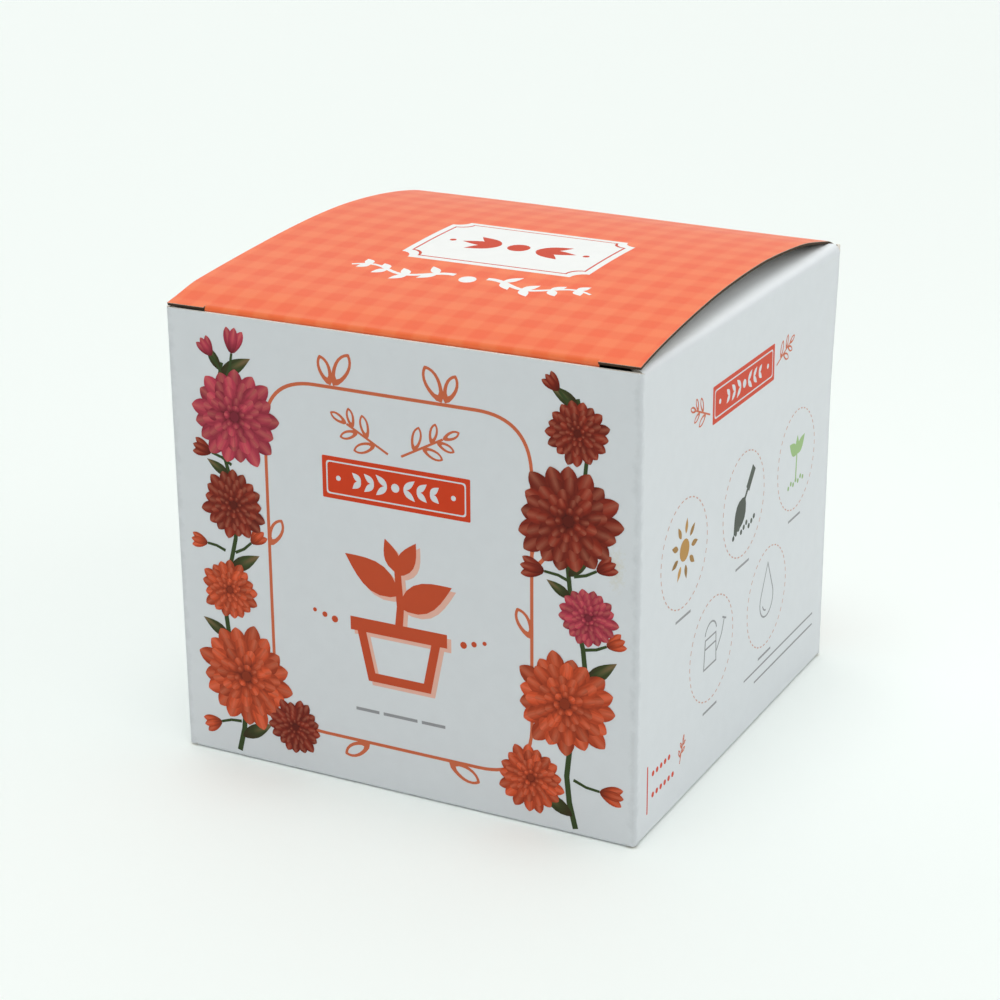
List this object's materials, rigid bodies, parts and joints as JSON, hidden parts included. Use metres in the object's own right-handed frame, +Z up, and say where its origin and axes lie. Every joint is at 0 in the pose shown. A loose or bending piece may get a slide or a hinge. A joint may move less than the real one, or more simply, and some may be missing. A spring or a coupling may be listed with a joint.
{
  "type": "printed paperboard folding carton",
  "caption": "Small square folding carton of printed board with a bowed tuck-in lid, dust flaps and a locked bottom.",
  "frame": {"origin": "centre of the square footprint, on the surface that the carton stands on", "axes": "+Z up, -Y towards the front wall that the tuck flap goes in behind, +X towards the right wall seen from the front"},
  "size_m": [0.085, 0.085, 0.0849],
  "materials": {
    "coated_white": "satin",
    "coated_orange": "satin",
    "bare_board": "matte"
  },
  "bodies": {
    "carton": {"wall_front": "coated_white", "wall_right": "coated_white", "wall_back": "coated_white", "wall_left": "coated_white", "glue_flap": "bare_board", "bottom_flap_front": "coated_white", "bottom_flap_back": "coated_white", "bottom_flap_left": "bare_board", "bottom_flap_right": "bare_board"},
    "lid": {"lid_panel": "coated_orange"},
    "tuck": {"tuck_flap": "coated_orange"},
    "dust_left": {"dust_flap_left": "coated_white"},
    "dust_right": {"dust_flap_right": "coated_white"}
  },
  "joints": [
    {"name": "lid_hinge", "type": "hinge", "parent": "carton", "child": "lid", "pos_m": [0, 0.0425, 0.07965], "axis": [-1, 0, 0], "range_deg": [0, 170]},
    {"name": "tuck_fold", "type": "hinge", "parent": "lid", "child": "tuck", "pos_m": [0, -0.0412, 0.0798], "axis": [-1, 0, 0], "range_deg": [0, 85]},
    {"name": "dust_left_fold", "type": "hinge", "parent": "carton", "child": "dust_left", "pos_m": [-0.0425, 0, 0.0795], "axis": [0, -1, 0], "range_deg": [0, 85]},
    {"name": "dust_right_fold", "type": "hinge", "parent": "carton", "child": "dust_right", "pos_m": [0.0425, 0, 0.0795], "axis": [0, 1, 0], "range_deg": [0, 85]}
  ],
  "couplings": [
    {"joint": "tuck_fold", "follows": "lid_hinge", "ratio": 0.5},
    {"joint": "dust_left_fold", "follows": "lid_hinge", "ratio": 0.5},
    {"joint": "dust_right_fold", "follows": "lid_hinge", "ratio": 0.5}
  ]
}
